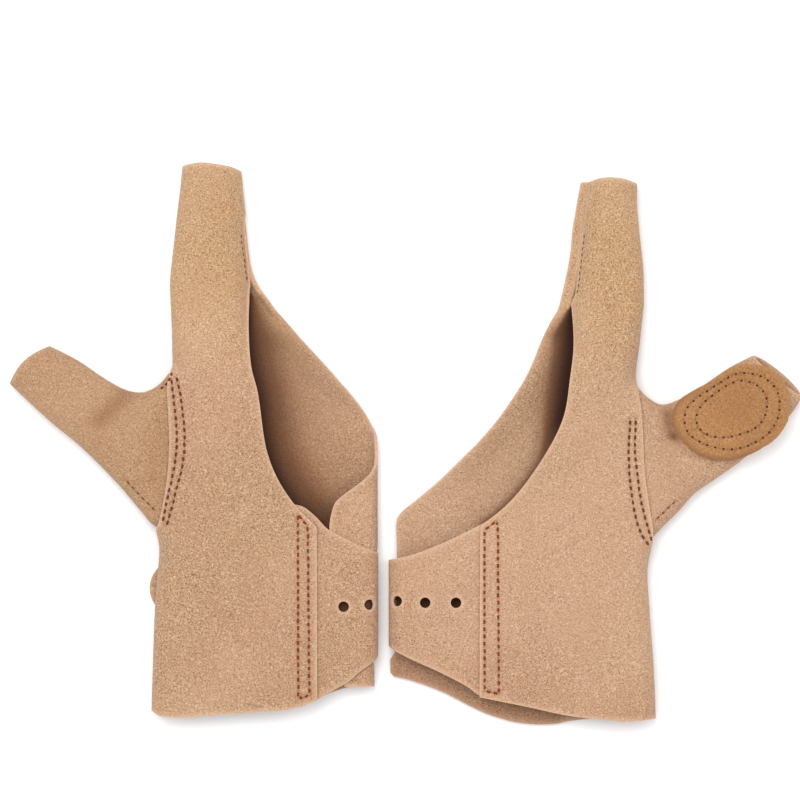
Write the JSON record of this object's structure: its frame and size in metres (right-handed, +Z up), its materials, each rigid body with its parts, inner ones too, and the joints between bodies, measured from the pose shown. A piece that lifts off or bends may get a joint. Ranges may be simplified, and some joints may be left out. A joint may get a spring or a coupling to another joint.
{
  "type": "hand grips",
  "caption": "Pair of soft suede hand grips covering index finger, thumb and wrist, with open palm-side cut-outs and wrist straps with punched holes",
  "frame": {"origin": "middle of the pair's box, on the surface that it lies on", "axes": "+X from the left-hand grip in view to the right-hand one, +Y to the fingertips, +Z up from the surface"},
  "size_m": [0.3162, 0.2246, 0.0158],
  "materials": {
    "suede": "tan suede, napped, matt",
    "patch_leather": "thicker golden-brown nubuck, matt",
    "thread": "red-brown waxed thread",
    "brass": "satin"
  },
  "bodies": {
    "left_grip": {"left_front_panel": "suede", "left_back_panel": "suede", "left_back_flap": "suede", "left_radial_fold": "suede", "left_index_sleeve": "suede", "left_thumb_sleeve": "suede", "left_strap_root": "suede", "left_stud": "brass", "left_stud_screw": "brass", "left_strap_thread": "thread", "left_thumb_thread": "thread", "left_index_seam": "thread", "left_thumb_seam": "thread"},
    "left_tail": {"left_strap_tail": "suede"},
    "right_grip": {"right_front_panel": "suede", "right_back_panel": "suede", "right_radial_fold": "suede", "right_index_sleeve": "suede", "right_thumb_sleeve": "suede", "right_strap_root": "suede", "right_stud": "brass", "right_stud_screw": "brass", "right_strap_thread": "thread", "right_thumb_thread": "thread", "right_index_seam": "thread", "right_thumb_seam": "thread", "right_thumb_patch": "patch_leather", "right_patch_thread": "thread"},
    "right_tail": {"right_strap_tail": "suede"}
  },
  "joints": [
    {"name": "left_strap_open", "type": "hinge", "parent": "left_grip", "child": "left_tail", "pos_m": [-0.0216, -0.064, 0.0006], "axis": [0, -1, 0], "range_deg": [0, 90]},
    {"name": "right_grip_apart", "type": "slide", "parent": "left_grip", "child": "right_grip", "axis": [1, 0, 0], "range_m": [0, 0.06]},
    {"name": "right_strap_open", "type": "hinge", "parent": "right_grip", "child": "right_tail", "pos_m": [0.0036, -0.064, 0.0006], "axis": [0, 1, 0], "range_deg": [0, 90]}
  ]
}
